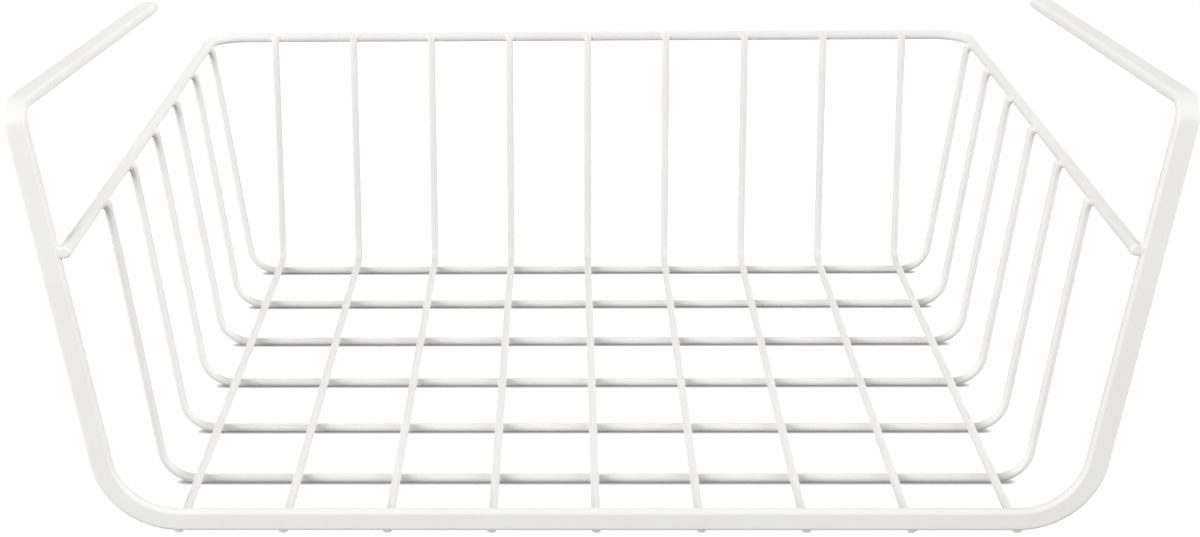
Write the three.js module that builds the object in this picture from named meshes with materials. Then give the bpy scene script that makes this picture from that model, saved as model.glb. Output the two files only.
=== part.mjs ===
// Under-shelf storage basket: a welded wire tray hanging from a bent flat-bar frame.
// The bar frame carries two hook arms that slide over a shelf board.
// Units are millimetres, +Z is up, the open front faces -Y.
// The origin lies at the middle of the footprint, on the surface the basket stands on.

import * as THREE from 'three';

// Overall layout
const OVERALL_DEPTH = 278;
const OVERALL_HEIGHT = 150.8;
const RIM_HEIGHT = 102.7;

// Flat-bar front frame, measured on its centreline
const BAR_WIDTH = 7.4;
const BAR_THICK = 3.6;
const BAR_EDGE = 1.2;
const FRAME_FOOT_SPAN = 312.4;
const HOOK_SPAN = 352.4;
const FRAME_CORNER_R = 24;
const HOOK_BEND_R = 6;
const ARM_REACH = 137;
const ARM_TOE_IN = 0.115;

// Round rim wire
const RIM_DIA = 4.2;
const RIM_CORNER_R = 14;
const RIM_TIP_INSET = 0.5;

// Thin grid wires
const WIRE_DIA = 3;
const CROSS_COUNT = 6;
const CROSS_FOOT_SPAN = 297.6;
const CROSS_CORNER_R = 12;
const FIRST_CROSS_INSET = 49;
const RUNNER_COUNT = 9;
const RUNNER_PITCH = 34.1;
const RUNNER_BEND_R = 6;
const RUNNER_TIP_INSET = 3.45;
const RUNNER_TIP_SLANT = 1;
const REAR_BEND_INSET = 17.6;
const CROSS_TIP_RISE = 1;
const RUNNER_TIP_RISE = 2;

// Clearance left at every welded joint
const WELD_GAP = 0.3;

// Fineness of the curves
const WIRE_SIDES = 12;
const BEND_STEPS = 6;
const BAR_BEND_STEPS = 8;
const BAR_EDGE_STEPS = 2;
const ARM_TIP_STATIONS = [0, 0.2, 0.5, 0.8, 1];
const ARM_TIP_MIN = 0.25;

const COAT_COLOR = 0xf1f0ec;

// Heights of the stacked layers, from the standing surface upward
const crossZ = WIRE_DIA / 2;
const runnerZ = crossZ + WIRE_DIA + WELD_GAP;
const barZ = runnerZ + WIRE_DIA / 2 + WELD_GAP + BAR_WIDTH / 2;
const armZ = OVERALL_HEIGHT - BAR_THICK / 2;

const frontY = -OVERALL_DEPTH / 2;
const barY = frontY + BAR_THICK / 2;
const rimBackY = OVERALL_DEPTH / 2 - RIM_DIA / 2;
const rearBendY = OVERALL_DEPTH / 2 - REAR_BEND_INSET;

const vec = (x, y, z) => new THREE.Vector3(x, y, z);

const X_AXIS = vec(1, 0, 0);
const Y_AXIS = vec(0, 1, 0);
const Z_AXIS = vec(0, 0, 1);
const FRONT = vec(0, -1, 0);

// A wire's centreline: straight runs joined by circular bends.
// Stations sit only at the ends and round the bends, so straight runs stay single spans.
class BentPath extends THREE.Curve {
  constructor(corners, radii, normals, steps) {
    super();
    this.stations = [];
    this.tangents = [];
    this.normals = [];
    this.binormals = [];
    const last = corners.length - 1;
    const runs = [];
    for (let i = 0; i < last; i += 1) {
      runs.push(corners[i + 1].clone().sub(corners[i]).normalize());
    }
    this.addStation(corners[0], runs[0], normals[0]);
    for (let i = 1; i < last; i += 1) {
      if (radii[i - 1] > 0) {
        this.addBend(corners[i], runs[i - 1], runs[i], radii[i - 1], normals[i - 1], normals[i], steps);
      } else {
        this.addStation(corners[i], runs[i], normals[i]);
      }
    }
    this.addStation(corners[last], runs[last - 1], normals[last - 1]);
  }

  addStation(point, tangent, normal) {
    const square = normal.clone().addScaledVector(tangent, -normal.dot(tangent)).normalize();
    this.stations.push(point.clone());
    this.tangents.push(tangent.clone());
    this.normals.push(square);
    this.binormals.push(tangent.clone().cross(square));
  }

  addBend(corner, before, after, radius, normalBefore, normalAfter, steps) {
    const turn = before.angleTo(after);
    const reach = radius * Math.tan(turn / 2);
    const start = corner.clone().addScaledVector(before, -reach);
    const inward = after.clone().addScaledVector(before, -before.dot(after)).normalize();
    const centre = start.clone().addScaledVector(inward, radius);
    for (let i = 0; i <= steps; i += 1) {
      const angle = turn * i / steps;
      const point = centre.clone();
      point.addScaledVector(inward, -radius * Math.cos(angle));
      point.addScaledVector(before, radius * Math.sin(angle));
      const tangent = before.clone().multiplyScalar(Math.cos(angle));
      tangent.addScaledVector(inward, Math.sin(angle));
      const blend = i / steps * Math.PI / 2;
      const normal = normalBefore.clone().multiplyScalar(Math.cos(blend));
      normal.addScaledVector(normalAfter, Math.sin(blend));
      this.addStation(point, tangent, normal);
    }
  }

  // Cuts the first end on the slant, so its lower edge lies further along the wire.
  slantStart(slope) {
    this.binormals[0].addScaledVector(this.tangents[0], slope);
  }

  getPoint(t) {
    const place = t * (this.stations.length - 1);
    const index = Math.min(Math.floor(place), this.stations.length - 2);
    return this.stations[index].clone().lerp(this.stations[index + 1], place - index);
  }

  getSpacedPoints() {
    return this.stations;
  }

  computeFrenetFrames() {
    return { tangents: this.tangents, normals: this.normals, binormals: this.binormals };
  }
}

// Round section drawn with flats, so a wire lying level has a flat facet underneath.
function roundSection(diameter) {
  const reach = diameter / 2 / Math.cos(Math.PI / WIRE_SIDES);
  const points = [];
  for (let i = 0; i < WIRE_SIDES; i += 1) {
    const angle = (i + 0.5) * 2 * Math.PI / WIRE_SIDES;
    points.push(new THREE.Vector2(reach * Math.cos(angle), reach * Math.sin(angle)));
  }
  return new THREE.Shape(points);
}

// Rectangle with rounded edges: x runs through the thickness, y across the width.
function barSection() {
  const x = BAR_THICK / 2 - BAR_EDGE;
  const y = BAR_WIDTH / 2 - BAR_EDGE;
  const centres = [[x, y], [-x, y], [-x, -y], [x, -y]];
  const points = [];
  centres.forEach(([cx, cy], quarter) => {
    for (let i = 0; i <= BAR_EDGE_STEPS; i += 1) {
      const angle = (quarter + i / BAR_EDGE_STEPS) * Math.PI / 2;
      points.push(new THREE.Vector2(cx + BAR_EDGE * Math.cos(angle), cy + BAR_EDGE * Math.sin(angle)));
    }
  });
  return new THREE.Shape(points);
}

function sweep(section, path) {
  return new THREE.ExtrudeGeometry(section, {
    steps: path.stations.length - 1,
    extrudePath: path,
    bevelEnabled: false,
  });
}

function addPart(group, name, geometry) {
  const material = new THREE.MeshStandardMaterial({ color: COAT_COLOR, roughness: 0.45, metalness: 0 });
  const mesh = new THREE.Mesh(geometry, material);
  mesh.name = name;
  group.add(mesh);
}

// Lean of a wire that starts at a corner and passes the rim's axis at a set clearance.
function leanPastRim(across, up) {
  const clearance = RIM_DIA / 2 + WELD_GAP + WIRE_DIA / 2;
  return Math.atan2(across, up) - Math.asin(clearance / Math.hypot(across, up));
}

// Half the distance between the rim's side runs, set by the inner edges of the frame legs.
function rimHalfSpan() {
  const slope = (HOOK_SPAN - FRAME_FOOT_SPAN) / 2 / (armZ - barZ);
  const legX = FRAME_FOOT_SPAN / 2 + slope * (RIM_HEIGHT - barZ);
  const clearance = BAR_WIDTH / 2 + WELD_GAP + RIM_DIA / 2;
  return legX - clearance * Math.hypot(1, slope);
}

// Narrows the last stretch of each arm in plan, which rounds its tip.
function roundArmTips(geometry, tipX) {
  const position = geometry.getAttribute('position');
  const tipY = frontY + ARM_REACH;
  const round = BAR_WIDTH / 2;
  for (let i = 0; i < position.count; i += 1) {
    const past = (position.getY(i) - (tipY - round)) / round;
    if (past > 0) {
      const side = Math.sign(position.getX(i));
      const axisX = side * (tipX + ARM_TOE_IN * (tipY - position.getY(i)));
      const keep = Math.max(Math.sqrt(Math.max(1 - past * past, 0)), ARM_TIP_MIN);
      position.setX(i, axisX + (position.getX(i) - axisX) * keep);
    }
  }
  geometry.computeVertexNormals();
}

function frontFrame(group) {
  const hookX = HOOK_SPAN / 2;
  const footX = FRAME_FOOT_SPAN / 2;
  const tipY = frontY + ARM_REACH;
  const armAt = (back) => {
    const y = tipY - back * BAR_WIDTH / 2;
    return vec(hookX - ARM_TOE_IN * (y - barY), y, armZ);
  };
  const tips = ARM_TIP_STATIONS.map(armAt);
  const side = [...tips, vec(hookX, barY, armZ), vec(footX, barY, barZ)];
  const mirrored = side.map((p) => vec(-p.x, p.y, p.z)).reverse();
  const corners = [...side, ...mirrored];
  const straight = tips.slice(1).map(() => 0);
  const bends = [HOOK_BEND_R, FRAME_CORNER_R, FRAME_CORNER_R, HOOK_BEND_R];
  const radii = [...straight, ...bends, ...straight];
  const armNormals = tips.map(() => Z_AXIS);
  const normals = [...armNormals, FRONT, FRONT, FRONT, ...armNormals];
  const geometry = sweep(barSection(), new BentPath(corners, radii, normals, BAR_BEND_STEPS));
  roundArmTips(geometry, armAt(0).x);
  addPart(group, 'front_frame', geometry);
}

function rimWire(group) {
  const x = rimHalfSpan();
  const tipY = frontY + RIM_TIP_INSET;
  const corners = [
    vec(-x, tipY, RIM_HEIGHT),
    vec(-x, rimBackY, RIM_HEIGHT),
    vec(x, rimBackY, RIM_HEIGHT),
    vec(x, tipY, RIM_HEIGHT),
  ];
  const radii = [RIM_CORNER_R, RIM_CORNER_R];
  const path = new BentPath(corners, radii, [Z_AXIS, Z_AXIS, Z_AXIS], BEND_STEPS);
  addPart(group, 'rim_wire', sweep(roundSection(RIM_DIA), path));
}

function crossWires(group) {
  const footX = CROSS_FOOT_SPAN / 2;
  const lean = leanPastRim(rimHalfSpan() - footX, RIM_HEIGHT - crossZ);
  const tipZ = RIM_HEIGHT + CROSS_TIP_RISE;
  const tipX = footX + Math.tan(lean) * (tipZ - crossZ);
  const firstY = frontY + FIRST_CROSS_INSET;
  const runnerLean = leanPastRim(rimBackY - rearBendY, RIM_HEIGHT - runnerZ);
  const lastY = rearBendY - RUNNER_BEND_R * Math.tan((Math.PI / 2 - runnerLean) / 2);
  for (let i = 0; i < CROSS_COUNT; i += 1) {
    const y = firstY + (lastY - firstY) * i / (CROSS_COUNT - 1);
    const corners = [vec(-tipX, y, tipZ), vec(-footX, y, crossZ), vec(footX, y, crossZ), vec(tipX, y, tipZ)];
    const radii = [CROSS_CORNER_R, CROSS_CORNER_R];
    const path = new BentPath(corners, radii, [Y_AXIS, Y_AXIS, Y_AXIS], BEND_STEPS);
    addPart(group, `cross_wire_${i + 1}`, sweep(roundSection(WIRE_DIA), path));
  }
}

function runnerWires(group) {
  const lean = leanPastRim(rimBackY - rearBendY, RIM_HEIGHT - runnerZ);
  const tipZ = RIM_HEIGHT + RUNNER_TIP_RISE;
  const tipY = rearBendY + Math.tan(lean) * (tipZ - runnerZ);
  const startY = frontY + RUNNER_TIP_INSET;
  for (let i = 0; i < RUNNER_COUNT; i += 1) {
    const x = (i - (RUNNER_COUNT - 1) / 2) * RUNNER_PITCH;
    const corners = [vec(x, startY, runnerZ), vec(x, rearBendY, runnerZ), vec(x, tipY, tipZ)];
    const path = new BentPath(corners, [RUNNER_BEND_R], [X_AXIS, X_AXIS], BEND_STEPS);
    path.slantStart(RUNNER_TIP_SLANT);
    addPart(group, `runner_wire_${i + 1}`, sweep(roundSection(WIRE_DIA), path));
  }
}

const basket = new THREE.Group();
basket.name = 'under_shelf_basket';
frontFrame(basket);
rimWire(basket);
crossWires(basket);
runnerWires(basket);

export default basket;
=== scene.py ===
"""Looks of the under-shelf storage basket.

Every piece is rebuilt as a smooth coated bar or wire on its solid's centreline, and every joint
gets a coated weld, a small closed collar. Lengths are in millimetres until a mesh is made. The
materials, the floor and the lamps are in metres.
"""

import math
from collections import namedtuple

import bpy
import numpy as np
from mathutils import Matrix, Vector


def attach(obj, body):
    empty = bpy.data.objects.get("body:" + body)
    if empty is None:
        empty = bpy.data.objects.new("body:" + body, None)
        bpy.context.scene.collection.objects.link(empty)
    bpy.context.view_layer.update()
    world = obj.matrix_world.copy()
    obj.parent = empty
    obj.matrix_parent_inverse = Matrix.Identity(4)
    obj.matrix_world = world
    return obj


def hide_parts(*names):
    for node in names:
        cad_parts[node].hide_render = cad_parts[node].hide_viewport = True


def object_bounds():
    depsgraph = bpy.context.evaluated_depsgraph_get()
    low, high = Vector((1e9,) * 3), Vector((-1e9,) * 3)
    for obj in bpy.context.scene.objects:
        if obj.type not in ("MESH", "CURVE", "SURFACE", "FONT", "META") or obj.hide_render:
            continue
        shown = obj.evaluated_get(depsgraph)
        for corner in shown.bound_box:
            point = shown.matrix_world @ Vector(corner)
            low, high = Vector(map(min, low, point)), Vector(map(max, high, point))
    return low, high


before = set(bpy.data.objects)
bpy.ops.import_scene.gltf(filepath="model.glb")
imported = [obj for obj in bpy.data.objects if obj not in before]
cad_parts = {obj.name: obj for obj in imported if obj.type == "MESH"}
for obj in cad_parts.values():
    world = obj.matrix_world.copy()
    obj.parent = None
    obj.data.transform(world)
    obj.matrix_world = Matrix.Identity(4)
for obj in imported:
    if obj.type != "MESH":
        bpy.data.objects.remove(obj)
cad_box = [list(corner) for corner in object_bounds()]

MM = 0.001
X_AXIS = np.array([1.0, 0.0, 0.0])
Y_AXIS = np.array([0.0, 1.0, 0.0])
Z_AXIS = np.array([0.0, 0.0, 1.0])

# Sizes of the part, the same as its solids have
OVERALL_DEPTH = 278.0
OVERALL_HEIGHT = 150.8
RIM_HEIGHT = 102.7
BAR_WIDTH = 7.4
BAR_THICK = 3.6
FRAME_FOOT_SPAN = 312.4
HOOK_SPAN = 352.4
FRAME_CORNER_R = 24.0
HOOK_BEND_R = 6.0
ARM_REACH = 137.0
ARM_TOE_IN = 0.115
RIM_DIA = 4.2
RIM_CORNER_R = 14.0
RIM_TIP_INSET = 0.5
WIRE_DIA = 3.0
CROSS_COUNT = 6
CROSS_FOOT_SPAN = 297.6
CROSS_CORNER_R = 12.0
FIRST_CROSS_INSET = 49.0
RUNNER_COUNT = 9
RUNNER_PITCH = 34.1
RUNNER_BEND_R = 6.0
RUNNER_TIP_INSET = 3.45
RUNNER_TIP_SLANT = 1.0
REAR_BEND_INSET = 17.6
CROSS_TIP_RISE = 1.0
RUNNER_TIP_RISE = 2.0
WELD_GAP = 0.3

# Rounding of the bar's edges. It is fuller than on the solid, as the soft shading in the
# photograph shows, and stays within a share of the section where the tips narrow
BAR_EDGE = 1.5
EDGE_SHARE = 0.97

# How far a weld presses one wire into the next, where the solids keep a clearance
RIM_PRESS = 0.6
TIP_PRESS = 0.65

# Rounding of a wire's end, as a share of its radius
CUT_END = 0.55
DOMED_END = 0.95

# Fineness of the meshes
RING_SIDES = 24
BEND_STEPS = 20
EDGE_STEPS = 8
END_ANGLES = np.radians([90, 65, 40, 18, 0])
TIP_ANGLES = np.radians([6, 16, 28, 42, 58, 74, 90])
WELD_PITCH = 0.25

# Stretches of wire within this reach of a weld count in it. Without one, the wire is far away
WELD_REACH = 16.0
FAR_AWAY = 1000.0

# A weld's edge under the pieces' skins, its depth inside them, and its spread as a share of its
# fillet
WELD_SINK = 0.03
WELD_DEPTH = 0.52
WELD_SPREAD = 1.34

# Kinds of weld: half the side of the cube it is sampled in, its fillet and its bead's height
WeldKind = namedtuple("WeldKind", "half fillet bead")
CROSSING_WELD = WeldKind(3.2, 0.9, 0.1)
TIP_WELD = WeldKind(4.4, 1.3, 0.12)
LEG_WELD = WeldKind(4.6, 1.1, 0.06)

# How far behind the middle of the bar its welds are centred
FRONT_WELD_BACK = 0.6
LEG_WELD_BACK = 1.0

# A bead fades with the square of the distance, and two waves make it lumpy
BEAD_FADE = 4.0
LUMP_HEIGHT = 0.03
LUMP_WAVES = ((1.9, 0.7, 1.3), (-0.8, 1.7, 2.1))
LUMP_SHIFT = 1.0

# A grid cell's corners and edges, and the corners of a square in turn, for the faces of a cell
# and for the cells around an edge
CELL_CORNERS = 8
CELL_EDGES = 12
SQUARE = ((0, 0), (1, 0), (1, 1), (0, 1))

# Powder coat: colours of the wires and of the welds, gloss, and noise as (scale, detail)
COAT_WHITE = (0.906, 0.902, 0.892)
COAT_WARM = (0.886, 0.88, 0.867)
WELD_WHITE = (0.897, 0.89, 0.876)
WELD_WARM = (0.87, 0.858, 0.838)
COAT_IOR = 1.5
COAT_SPECULAR = 0.15
GLAZE_WEIGHT = 0.04
GLAZE_ROUGHNESS = 0.22
ROUGHNESS_RANGE = (0.34, 0.5)
TONE_STOPS = (0.35, 0.65)
TONE_NOISE = (38, 3)
GLOSS_NOISE = (260, 4)
PEEL_NOISE = (900, 2)
PEEL_STRENGTH = 0.25
PEEL_HEIGHT = 0.00012

# Floor: the grey that lights the object and the grey that holds its shadow. The glow that makes
# the floor white fades where the object is near, which paints a dark contact shadow under the wires
FLOOR_SIZE = 12
BOUNCE_GREY = 0.26
SHADOW_GREY = 0.25
PAINTED_SHADOW_REACH = 0.003
PAINTED_SHADOW_AO_RANGE = (0.5, 0.82)
GLOW_RANGE = (0.2, 0.9)

# World: its light on the object, and the white that is seen behind it
WORLD_LIGHT = 0.15
WORLD_WHITE = 1.0

# Square lamps: name, place, side and power. All are aimed at one point
LAMP_AIM = (0, 0, 0.06)
LAMPS = (
    ("key", (-1.05, -1.75, 0.9), 1.2, 31.0),
    ("front_fill", (0.6, -1.0, 0.55), 0.7, 3.1),
    ("right_fill", (3.0, 0.0, 1.0), 1.9, 66.0),
    ("left_fill", (-1.1, 0.0, 0.4), 0.7, 4.6),
    ("back", (0.0, 0.8, 0.85), 0.7, 4.1),
)

# The photograph's camera, found by fitting the wires' places in its 1200 by 537 frame
IMAGE_SIZE = (1200, 537)
FOCAL_PX = 1971.6
CENTRE_PX = (524.8, 268.5)
CAMERA_AT = (-9.69, -706.04, 309.76)
CAMERA_YAW = -0.0223
CAMERA_PITCH = 0.3581
CAMERA_ROLL = 0.0102
SENSOR_WIDTH = 36
NEAREST_SEEN = 0.01

cross_z = WIRE_DIA / 2
runner_z = cross_z + WIRE_DIA + WELD_GAP
bar_z = runner_z + WIRE_DIA / 2 + WELD_GAP + BAR_WIDTH / 2
arm_z = OVERALL_HEIGHT - BAR_THICK / 2
front_y = -OVERALL_DEPTH / 2
bar_y = front_y + BAR_THICK / 2
rim_back_y = OVERALL_DEPTH / 2 - RIM_DIA / 2
rear_bend_y = OVERALL_DEPTH / 2 - REAR_BEND_INSET


def unit(vector):
    return vector / np.linalg.norm(vector)


# Centrelines


def bent_path(corners, radii, normals):
    """Stations (point, tangent, normal, binormal) along straight runs joined by circular bends."""
    corners = [np.array(corner, float) for corner in corners]
    runs = [unit(b - a) for a, b in zip(corners, corners[1:])]
    rows = []

    def station(point, tangent, normal):
        square = unit(normal - tangent * normal.dot(tangent))
        rows.append((point, tangent, square, np.cross(tangent, square)))

    station(corners[0], runs[0], normals[0])
    for i, radius in enumerate(radii):
        before, after = runs[i], runs[i + 1]
        turn = math.acos(before.dot(after))
        inward = unit(after - before * before.dot(after))
        centre = corners[i + 1] - before * radius * math.tan(turn / 2) + inward * radius
        for part in np.linspace(0, 1, BEND_STEPS + 1):
            angle = turn * part
            point = centre + radius * (before * math.sin(angle) - inward * math.cos(angle))
            tangent = before * math.cos(angle) + inward * math.sin(angle)
            blend = part * math.pi / 2
            normal = normals[i] * math.cos(blend) + normals[i + 1] * math.sin(blend)
            station(point, tangent, normal)
    station(corners[-1], runs[-1], normals[-1])
    return rows


def lean_past_rim(across, up):
    """Lean of a wire from a corner to the rim, with its tip pressed into the rim by the weld."""
    clearance = RIM_DIA / 2 + WIRE_DIA / 2 - TIP_PRESS
    return math.atan2(across, up) - math.asin(clearance / math.hypot(across, up))


leg_slope = (HOOK_SPAN - FRAME_FOOT_SPAN) / 2 / (arm_z - bar_z)
leg_x_at_rim = FRAME_FOOT_SPAN / 2 + leg_slope * (RIM_HEIGHT - bar_z)
rim_x = leg_x_at_rim - (BAR_WIDTH / 2 + RIM_DIA / 2 - RIM_PRESS) * math.hypot(1, leg_slope)
runner_lean = lean_past_rim(rim_back_y - rear_bend_y, RIM_HEIGHT - runner_z)
cross_lean = lean_past_rim(rim_x - CROSS_FOOT_SPAN / 2, RIM_HEIGHT - cross_z)
cross_tip_z = RIM_HEIGHT + CROSS_TIP_RISE
runner_tip_z = RIM_HEIGHT + RUNNER_TIP_RISE
last_cross_y = rear_bend_y - RUNNER_BEND_R * math.tan((math.pi / 2 - runner_lean) / 2)
cross_ys = np.linspace(front_y + FIRST_CROSS_INSET, last_cross_y, CROSS_COUNT)
runner_xs = (np.arange(RUNNER_COUNT) - (RUNNER_COUNT - 1) / 2) * RUNNER_PITCH


def frame_path():
    hook_x = HOOK_SPAN / 2
    foot_x = FRAME_FOOT_SPAN / 2
    tip_y = front_y + ARM_REACH
    tip_x = hook_x - ARM_TOE_IN * (tip_y - bar_y)
    right = [(tip_x, tip_y, arm_z), (hook_x, bar_y, arm_z), (foot_x, bar_y, bar_z)]
    left = [(-x, y, z) for x, y, z in reversed(right)]
    radii = [HOOK_BEND_R, FRAME_CORNER_R, FRAME_CORNER_R, HOOK_BEND_R]
    return bent_path(right + left, radii, [Z_AXIS, -Y_AXIS, -Y_AXIS, -Y_AXIS, Z_AXIS])


def rim_path():
    tip_y = front_y + RIM_TIP_INSET
    sides = [(-rim_x, tip_y), (-rim_x, rim_back_y), (rim_x, rim_back_y), (rim_x, tip_y)]
    return bent_path([(x, y, RIM_HEIGHT) for x, y in sides], [RIM_CORNER_R] * 2, [Z_AXIS] * 3)


def cross_path(y):
    foot_x = CROSS_FOOT_SPAN / 2
    tip_x = foot_x + math.tan(cross_lean) * (cross_tip_z - cross_z)
    left = [(-tip_x, y, cross_tip_z), (-foot_x, y, cross_z)]
    right = [(foot_x, y, cross_z), (tip_x, y, cross_tip_z)]
    return bent_path(left + right, [CROSS_CORNER_R] * 2, [Y_AXIS] * 3)


def runner_path(x):
    front = (x, front_y + RUNNER_TIP_INSET, runner_z)
    bend = (x, rear_bend_y, runner_z)
    tip_y = rear_bend_y + math.tan(runner_lean) * (runner_tip_z - runner_z)
    return bent_path([front, bend, (x, tip_y, runner_tip_z)], [RUNNER_BEND_R], [X_AXIS] * 2)


# Meshes


def add_mesh(name, points, faces, normals=None):
    """A mesh from millimetre points, held to the box of the solids."""
    mesh = bpy.data.meshes.new(name)
    mesh.from_pydata(np.clip(np.asarray(points) * MM, *cad_box).tolist(), [], faces)
    mesh.shade_smooth()
    if normals is not None:
        mesh.normals_split_custom_set_from_vertices(np.asarray(normals).tolist())
    obj = bpy.data.objects.new(name, mesh)
    bpy.context.scene.collection.objects.link(obj)
    return obj


def loft(name, rings):
    """A closed skin over rings of (points, normals), with a flat face on each end."""
    count = len(rings[0][0])
    faces = [list(range(count))[::-1]]
    for r in range(len(rings) - 1):
        a = r * count
        for i in range(count):
            j = (i + 1) % count
            faces.append([a + i, a + j, a + count + j, a + count + i])
    faces.append([(len(rings) - 1) * count + i for i in range(count)])
    points = np.concatenate([ring[0] for ring in rings])
    normals = np.concatenate([ring[1] for ring in rings])
    return add_mesh(name, points, faces, normals)


Wire = namedtuple("Wire", "rows diameter ends slant")


def round_wire(name, wire):
    """A round wire with the soft ends that a thick coat leaves. The first may be cut aslant."""
    radius = wire.diameter / 2
    turn = np.linspace(0, 2 * math.pi, RING_SIDES, endpoint=False)

    def ring(row, outward, angle, soft, shear):
        point, tangent, normal, binormal = row
        around = np.outer(np.cos(turn), normal) + np.outer(np.sin(turn), binormal)
        edge = soft * radius
        reach = radius - edge * (1 - math.cos(angle))
        along = -outward * edge * (1 - math.sin(angle)) + shear * reach * np.sin(turn)
        points = point + reach * around + np.outer(along, tangent)
        return points, math.cos(angle) * around + outward * math.sin(angle) * tangent

    rings = [ring(wire.rows[0], -1, angle, wire.ends[0], wire.slant) for angle in END_ANGLES]
    rings += [ring(row, 0, 0.0, 0.0, 0.0) for row in wire.rows[1:-1]]
    rings += [ring(wire.rows[-1], 1, angle, wire.ends[1], 0.0) for angle in END_ANGLES[::-1]]
    return loft(name, rings)


def bar_section(half_thick, half_width):
    """Outline of the bar with rounded edges: points and normals, thickness first."""
    edge = min(BAR_EDGE, EDGE_SHARE * half_thick, EDGE_SHARE * half_width)
    quarter = np.linspace(0, math.pi / 2, EDGE_STEPS + 1)
    angles = np.concatenate([quarter + i * math.pi / 2 for i in range(4)])
    signs = np.repeat([[1, 1], [-1, 1], [-1, -1], [1, -1]], EDGE_STEPS + 1, axis=0)
    normals = np.stack([np.cos(angles), np.sin(angles)], 1)
    return signs * [half_thick - edge, half_width - edge] + edge * normals, normals


def flat_bar(name, rows):
    """The bent flat bar, with both ends rounded in plan and softened at the edges."""
    half_width = BAR_WIDTH / 2
    half_thick = BAR_THICK / 2

    def ring(row, outward, angle):
        point, tangent, normal, binormal = row
        back = half_width * (1 - math.cos(angle))
        short = max(BAR_EDGE - back, 0.0)
        thick = half_thick - BAR_EDGE + math.sqrt(BAR_EDGE**2 - short**2)
        flat, flat_normals = bar_section(thick, half_width * math.sin(angle))
        points = point - outward * back * tangent
        points = points + np.outer(flat[:, 0], normal) + np.outer(flat[:, 1], binormal)
        side = np.outer(flat_normals[:, 1] * math.sin(angle), binormal)
        end = np.outer(np.abs(flat_normals[:, 1]) * math.cos(angle) * outward, tangent)
        return points, np.outer(flat_normals[:, 0], normal) + side + end

    rings = [ring(rows[0], -1, angle) for angle in TIP_ANGLES]
    rings += [ring(row, 0, math.pi / 2) for row in rows[1:-1]]
    rings += [ring(rows[-1], 1, angle) for angle in TIP_ANGLES[::-1]]
    return loft(name, rings)


# Welds


def rounded_box(past, edge):
    """Distance to a shape with rounded edges, from the distances past its two pairs of faces."""
    past = past + edge
    return np.linalg.norm(np.maximum(past, 0), axis=1) + np.minimum(past.max(axis=1), 0) - edge


def wire_distance(points, wire, centre):
    """Distance to the skin of a wire, counting only its stretches near a centre."""
    rows = wire.rows
    best = np.full(len(points), FAR_AWAY)
    for a, b in zip(rows, rows[1:]):
        run = b[0] - a[0]
        near = np.clip((centre - a[0]).dot(run) / run.dot(run), 0, 1)
        if np.linalg.norm(a[0] + run * near - centre) < WELD_REACH:
            low = -np.inf if a is rows[0] else 0
            high = np.inf if b is rows[-1] else 1
            part = np.clip((points - a[0]) @ run / run.dot(run), low, high)
            best = np.minimum(best, np.linalg.norm(points - a[0] - np.outer(part, run), axis=1))
    radius = wire.diameter / 2
    past = best - radius
    ends = ((rows[0], -1, wire.ends[0], wire.slant), (rows[-1], 1, wire.ends[1], 0.0))
    for row, outward, soft, slope in ends:
        if np.linalg.norm(row[0] - centre) < WELD_REACH:
            face = outward * unit(row[1] - slope * row[3])
            past = rounded_box(np.stack([past, (points - row[0]) @ face], 1), soft * radius)
    return past


def bar_distance(points, centre, along, wide):
    """Distance to the skin of a straight stretch of the flat bar."""
    offset = points - centre
    across = np.abs(np.stack([offset @ wide, offset @ np.cross(along, wide)], 1))
    return rounded_box(across - [BAR_WIDTH / 2, BAR_THICK / 2], BAR_EDGE)


def near_wire(wire, centre):
    return lambda points: wire_distance(points, wire, np.array(centre))


def near_bar(centre, along, wide):
    return lambda points: bar_distance(points, np.array(centre), along, wide)


def cell_edge(start, end):
    """Number of a grid cell's edge between two of its corners."""
    axis = [a != b for a, b in zip(start, end)].index(True)
    return 4 * axis + 2 * start[(axis + 1) % 3] + start[(axis + 2) % 3]


def sheet_table():
    """For each pattern of signs at a cell's corners, the sheet of skin that each edge is on.

    A cell that two sheets pass through gets a point on each, so that a thin skin stays closed.
    """
    table = np.tile(np.arange(CELL_EDGES), (2**CELL_CORNERS, 1))
    for pattern, sheets in enumerate(table):
        inside = (pattern >> np.arange(CELL_CORNERS) & 1).reshape(2, 2, 2)
        for axis in range(3):
            for side in (0, 1):
                corners = [tuple(np.roll((side, *corner), axis)) for corner in SQUARE]
                signs = [inside[corner] for corner in corners]
                edges = [cell_edge(corners[i - 1], corners[i]) for i in range(4)]
                cut = [edges[i] for i in range(4) if signs[i - 1] != signs[i]]
                pairs = [cut] if len(cut) == 2 else []
                if len(cut) == 4:
                    pairs = [(edges[i], edges[(i + 1) % 4]) for i in range(4) if signs[i]]
                for a, b in pairs:
                    sheets[sheets == sheets[a]] = sheets[b]
    return table


SHEETS = sheet_table()


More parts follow.
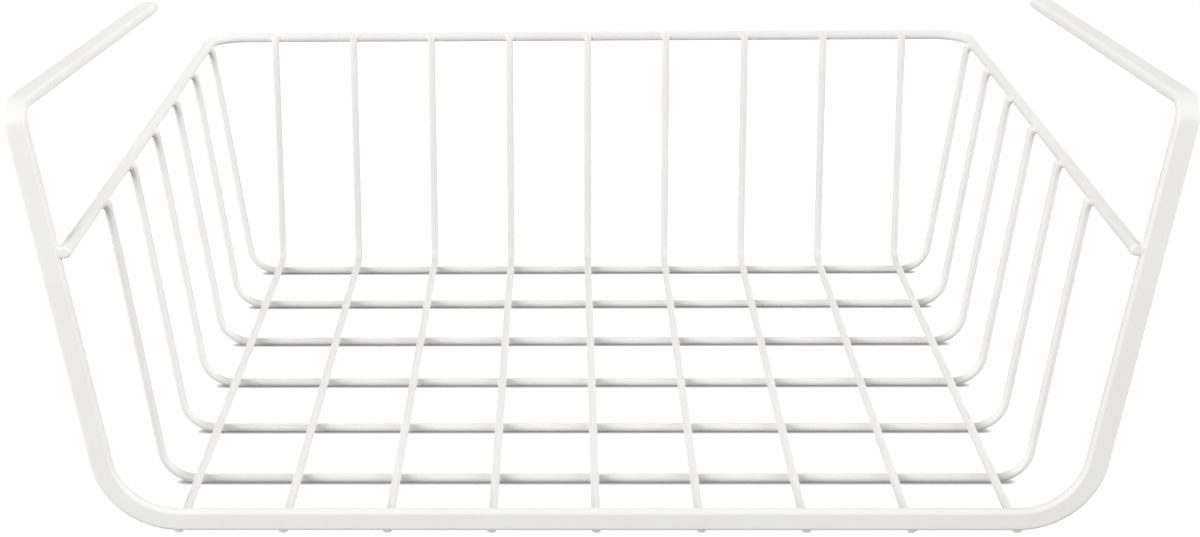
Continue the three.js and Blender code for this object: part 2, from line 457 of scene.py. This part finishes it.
def surface_net(field):
    """Quads on the zero level of a sampled field, in grid units. The inside is negative."""
    shape = np.array(field.shape) - 1
    inside = field < 0
    pattern = np.zeros(shape, int)
    for bit, (i, j, k) in enumerate(np.ndindex(2, 2, 2)):
        pattern |= inside[i:i + shape[0], j:j + shape[1], k:k + shape[2]].astype(int) << bit
    keys = []
    places = []
    outward = []
    for axis in range(3):
        low = [slice(None)] * 3
        high = [slice(None)] * 3
        low[axis] = slice(None, -1)
        high[axis] = slice(1, None)
        cut = np.argwhere(inside[tuple(low)] != inside[tuple(high)])
        f0 = field[tuple(low)][tuple(cut.T)]
        f1 = field[tuple(high)][tuple(cut.T)]
        place = cut.astype(float)
        place[:, axis] += f0 / (f0 - f1)
        cells = np.stack([cut - np.roll((0, *corner), axis) for corner in SQUARE], 1)
        whole = ((cells >= 0) & (cells < shape)).all(axis=(1, 2))
        cell = np.ravel_multi_index(np.moveaxis(cells[whole], 2, 0), shape)
        edge = [4 * axis + 2 * a + b for a, b in SQUARE]
        keys.append(CELL_EDGES * cell + SHEETS[pattern.ravel()[cell], edge])
        places.append(place[whole])
        outward.append(f0[whole] < 0)
    keys = np.concatenate(keys)
    outward = np.concatenate(outward)
    ids = np.unique(keys, return_inverse=True)[1].reshape(keys.shape)
    hits = np.bincount(ids.ravel())
    total = np.zeros((len(hits), 3))
    np.add.at(total, ids.ravel(), np.repeat(np.concatenate(places), 4, axis=0))
    ids[~outward] = ids[~outward][:, ::-1]
    return total / hits[:, None], ids


def weld(centre, first, second, kind):
    """A coated weld, a closed collar sunk into two pieces, from their distance functions."""
    centre = np.array(centre, float)
    count = int(2 * kind.half / WELD_PITCH) + 1
    axis = (np.arange(count) - (count - 1) / 2) * WELD_PITCH
    grid = np.stack(np.meshgrid(axis, axis, axis, indexing="ij"), -1).reshape(-1, 3) + centre
    a = first(grid)
    b = second(grid)
    # Shares of the pieces: even where they are equally near, where both comes to a quarter
    mix = np.clip(0.5 + 0.5 * (b - a) / kind.fillet, 0, 1)
    both = mix * (1 - mix)
    lumps = np.sin(grid @ LUMP_WAVES[0]) + np.sin(grid @ LUMP_WAVES[1] + LUMP_SHIFT)
    fade = np.exp(-((grid - centre) ** 2).sum(1) / BEAD_FADE)
    swell = 4 * both * (kind.bead + LUMP_HEIGHT * lumps) * fade
    outside = b * (1 - mix) + a * mix - kind.fillet * both - swell + WELD_SINK
    inside = -WELD_DEPTH - np.minimum(a, b)
    border = np.abs(a - b) - WELD_SPREAD * kind.fillet
    field = np.maximum(np.maximum(outside, inside), border)
    places, quads = surface_net(field.reshape(count, count, count))
    return places * WELD_PITCH + axis[0] + centre, quads


def add_welds(name, patches):
    points = np.concatenate([patch[0] for patch in patches])
    starts = np.cumsum([0] + [len(patch[0]) for patch in patches[:-1]])
    faces = np.concatenate([patch[1] + start for patch, start in zip(patches, starts)])
    return add_mesh(name, points, faces.tolist())


# Materials


def node_tree(owner):
    owner.use_nodes = True
    return owner.node_tree.nodes, owner.node_tree.links


def coat_material(name, base, warm):
    """Satin white powder coat: faint orange peel, slight tone drift and uneven gloss."""
    material = bpy.data.materials.new(name)
    nodes, links = node_tree(material)
    shader = nodes["Principled BSDF"]
    shader.inputs["IOR"].default_value = COAT_IOR
    shader.inputs["Specular IOR Level"].default_value = COAT_SPECULAR
    shader.inputs["Coat Weight"].default_value = GLAZE_WEIGHT
    shader.inputs["Coat Roughness"].default_value = GLAZE_ROUGHNESS
    place = nodes.new("ShaderNodeTexCoord").outputs["Object"]

    def noise(scale, detail):
        node = nodes.new("ShaderNodeTexNoise")
        node.inputs["Scale"].default_value = scale
        node.inputs["Detail"].default_value = detail
        links.new(place, node.inputs["Vector"])
        return node.outputs["Fac"]

    tone = nodes.new("ShaderNodeValToRGB")
    for stop, position, colour in zip(tone.color_ramp.elements, TONE_STOPS, (warm, base)):
        stop.position = position
        stop.color = (*colour, 1)
    links.new(noise(*TONE_NOISE), tone.inputs["Fac"])
    links.new(tone.outputs["Color"], shader.inputs["Base Color"])
    gloss = nodes.new("ShaderNodeMapRange")
    gloss.inputs["To Min"].default_value = ROUGHNESS_RANGE[0]
    gloss.inputs["To Max"].default_value = ROUGHNESS_RANGE[1]
    links.new(noise(*GLOSS_NOISE), gloss.inputs["Value"])
    links.new(gloss.outputs["Result"], shader.inputs["Roughness"])
    peel = nodes.new("ShaderNodeBump")
    peel.inputs["Strength"].default_value = PEEL_STRENGTH
    peel.inputs["Distance"].default_value = PEEL_HEIGHT
    links.new(noise(*PEEL_NOISE), peel.inputs["Height"])
    links.new(peel.outputs["Normal"], shader.inputs["Normal"])
    return material


def seen_rays(nodes, links):
    """1 for camera, glossy and transmission rays, which show the background, 0 for the rest."""
    rays = nodes.new("ShaderNodeLightPath")
    first = nodes.new("ShaderNodeMath")
    first.operation = "MAXIMUM"
    links.new(rays.outputs["Is Camera Ray"], first.inputs[0])
    links.new(rays.outputs["Is Glossy Ray"], first.inputs[1])
    both = nodes.new("ShaderNodeMath")
    both.operation = "MAXIMUM"
    links.new(first.outputs[0], both.inputs[0])
    links.new(rays.outputs["Is Transmission Ray"], both.inputs[1])
    return both.outputs[0]


def floor_material():
    """Pale floor, white to the camera, with the object's shadow and painted shade where it touches.
    """
    material = bpy.data.materials.new("floor_pale")
    nodes, links = node_tree(material)
    nodes.clear()
    output = nodes.new("ShaderNodeOutputMaterial")
    bounce = nodes.new("ShaderNodeBsdfDiffuse")
    bounce.inputs["Color"].default_value = (BOUNCE_GREY, BOUNCE_GREY, BOUNCE_GREY, 1)
    shade = nodes.new("ShaderNodeBsdfDiffuse")
    shade.inputs["Color"].default_value = (SHADOW_GREY, SHADOW_GREY, SHADOW_GREY, 1)
    # Painted contact shadow: the glow is dimmed by the ambient occlusion of the object nearby
    painted_shadow_ao = nodes.new("ShaderNodeAmbientOcclusion")
    painted_shadow_ao.inputs["Distance"].default_value = PAINTED_SHADOW_REACH
    depth = nodes.new("ShaderNodeMapRange")
    depth.inputs["From Min"].default_value = PAINTED_SHADOW_AO_RANGE[0]
    depth.inputs["From Max"].default_value = PAINTED_SHADOW_AO_RANGE[1]
    depth.inputs["To Min"].default_value = GLOW_RANGE[0]
    depth.inputs["To Max"].default_value = GLOW_RANGE[1]
    links.new(painted_shadow_ao.outputs["AO"], depth.inputs["Value"])
    glow = nodes.new("ShaderNodeEmission")
    links.new(depth.outputs["Result"], glow.inputs["Strength"])
    seen = nodes.new("ShaderNodeAddShader")
    links.new(shade.outputs[0], seen.inputs[0])
    links.new(glow.outputs[0], seen.inputs[1])
    pick = nodes.new("ShaderNodeMixShader")
    links.new(seen_rays(nodes, links), pick.inputs["Fac"])
    links.new(bounce.outputs[0], pick.inputs[1])
    links.new(seen.outputs[0], pick.inputs[2])
    links.new(pick.outputs[0], output.inputs["Surface"])
    return material


def studio_world():
    world = bpy.data.worlds.new("studio")
    nodes, links = node_tree(world)
    light = nodes["Background"]
    light.inputs["Color"].default_value = (1, 1, 1, 1)
    light.inputs["Strength"].default_value = WORLD_LIGHT
    white = nodes.new("ShaderNodeBackground")
    white.inputs["Color"].default_value = (1, 1, 1, 1)
    white.inputs["Strength"].default_value = WORLD_WHITE
    pick = nodes.new("ShaderNodeMixShader")
    links.new(seen_rays(nodes, links), pick.inputs["Fac"])
    links.new(light.outputs[0], pick.inputs[1])
    links.new(white.outputs[0], pick.inputs[2])
    links.new(pick.outputs[0], nodes["World Output"].inputs["Surface"])
    bpy.context.scene.world = world


# The object

coat = coat_material("white_powder_coat", COAT_WHITE, COAT_WARM)
weld_coat = coat_material("coated_weld", WELD_WHITE, WELD_WARM)


def dress(obj, material, node=None):
    obj.data.materials.append(material)
    if node:
        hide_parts(node)
    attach(obj, "root")


rim = Wire(rim_path(), RIM_DIA, (CUT_END, CUT_END), 0.0)
crosses = [Wire(cross_path(y), WIRE_DIA, (DOMED_END, DOMED_END), 0.0) for y in cross_ys]
runners = [
    Wire(runner_path(x), WIRE_DIA, (CUT_END, DOMED_END), RUNNER_TIP_SLANT) for x in runner_xs
]

dress(flat_bar("front_frame_coat", frame_path()), coat, "front_frame")
dress(round_wire("rim_wire_coat", rim), coat, "rim_wire")
for i, wire in enumerate(crosses, 1):
    dress(round_wire(f"cross_wire_{i}_coat", wire), coat, f"cross_wire_{i}")
for i, wire in enumerate(runners, 1):
    dress(round_wire(f"runner_wire_{i}_coat", wire), coat, f"runner_wire_{i}")


def tip_weld(wire, spot):
    """Weld of a wire's tip to the inside of the rim."""
    return weld(spot, near_wire(wire, spot), near_wire(rim, spot), TIP_WELD)


for i, (x, runner) in enumerate(zip(runner_xs, runners), 1):
    patches = []
    for y, cross in zip(cross_ys, crosses):
        spot = (x, y, (cross_z + runner_z) / 2)
        patches.append(weld(spot, near_wire(runner, spot), near_wire(cross, spot), CROSSING_WELD))
    patches.append(tip_weld(runner, (x, rim_back_y - RIM_DIA / 2, RIM_HEIGHT)))
    spot = (x, bar_y + FRONT_WELD_BACK, bar_z - BAR_WIDTH / 2 - WELD_GAP / 2)
    bar = near_bar((x, bar_y, bar_z), X_AXIS, Z_AXIS)
    patches.append(weld(spot, near_wire(runner, spot), bar, CROSSING_WELD))
    dress(add_welds(f"runner_wire_{i}_welds", patches), weld_coat)

for i, (y, cross) in enumerate(zip(cross_ys, crosses), 1):
    spots = [(side * (rim_x - RIM_DIA / 2), y, RIM_HEIGHT) for side in (-1, 1)]
    patches = [tip_weld(cross, spot) for spot in spots]
    dress(add_welds(f"cross_wire_{i}_welds", patches), weld_coat)

patches = []
for side in (-1, 1):
    spot = (side * (rim_x + RIM_DIA / 2), bar_y + LEG_WELD_BACK, RIM_HEIGHT)
    leg = unit(np.array([side * leg_slope, 0, 1]))
    bar = near_bar((side * leg_x_at_rim, bar_y, RIM_HEIGHT), leg, np.cross(leg, Y_AXIS))
    patches.append(weld(spot, near_wire(rim, spot), bar, LEG_WELD))
dress(add_welds("rim_wire_welds", patches), weld_coat)

# Floor, light and camera

bpy.ops.mesh.primitive_plane_add(size=FLOOR_SIZE, location=(0, 0, 0))
floor = bpy.context.object
floor.name = "floor"
floor.data.materials.append(floor_material())

studio_world()

for name, at, side, power in LAMPS:
    light = bpy.data.lights.new(name, "AREA")
    light.shape = "SQUARE"
    light.size = side
    light.energy = power
    lamp = bpy.data.objects.new(name, light)
    lamp.location = at
    lamp.rotation_euler = (Vector(LAMP_AIM) - Vector(at)).to_track_quat("-Z", "Y").to_euler()
    bpy.context.scene.collection.objects.link(lamp)

camera_data = bpy.data.cameras.new("photo_camera")
camera_data.sensor_fit = "HORIZONTAL"
camera_data.sensor_width = SENSOR_WIDTH
camera_data.lens = FOCAL_PX / IMAGE_SIZE[0] * camera_data.sensor_width
camera_data.shift_x = (IMAGE_SIZE[0] / 2 - CENTRE_PX[0]) / IMAGE_SIZE[0]
camera_data.shift_y = (CENTRE_PX[1] - IMAGE_SIZE[1] / 2) / IMAGE_SIZE[0]
camera_data.clip_start = NEAREST_SEEN
camera = bpy.data.objects.new("photo_camera", camera_data)
bpy.context.scene.collection.objects.link(camera)
forward = Vector((
    math.sin(CAMERA_YAW) * math.cos(CAMERA_PITCH),
    math.cos(CAMERA_YAW) * math.cos(CAMERA_PITCH),
    -math.sin(CAMERA_PITCH),
))
level = Vector((math.cos(CAMERA_YAW), -math.sin(CAMERA_YAW), 0))
down = forward.cross(level)
right = level * math.cos(CAMERA_ROLL) + down * math.sin(CAMERA_ROLL)
up = level * math.sin(CAMERA_ROLL) - down * math.cos(CAMERA_ROLL)
turned = Matrix((right, up, -forward)).transposed().to_4x4()
camera.matrix_world = Matrix.Translation(Vector(CAMERA_AT) * MM) @ turned
bpy.context.scene.camera = camera
bpy.context.scene.view_settings.view_transform = "Standard"
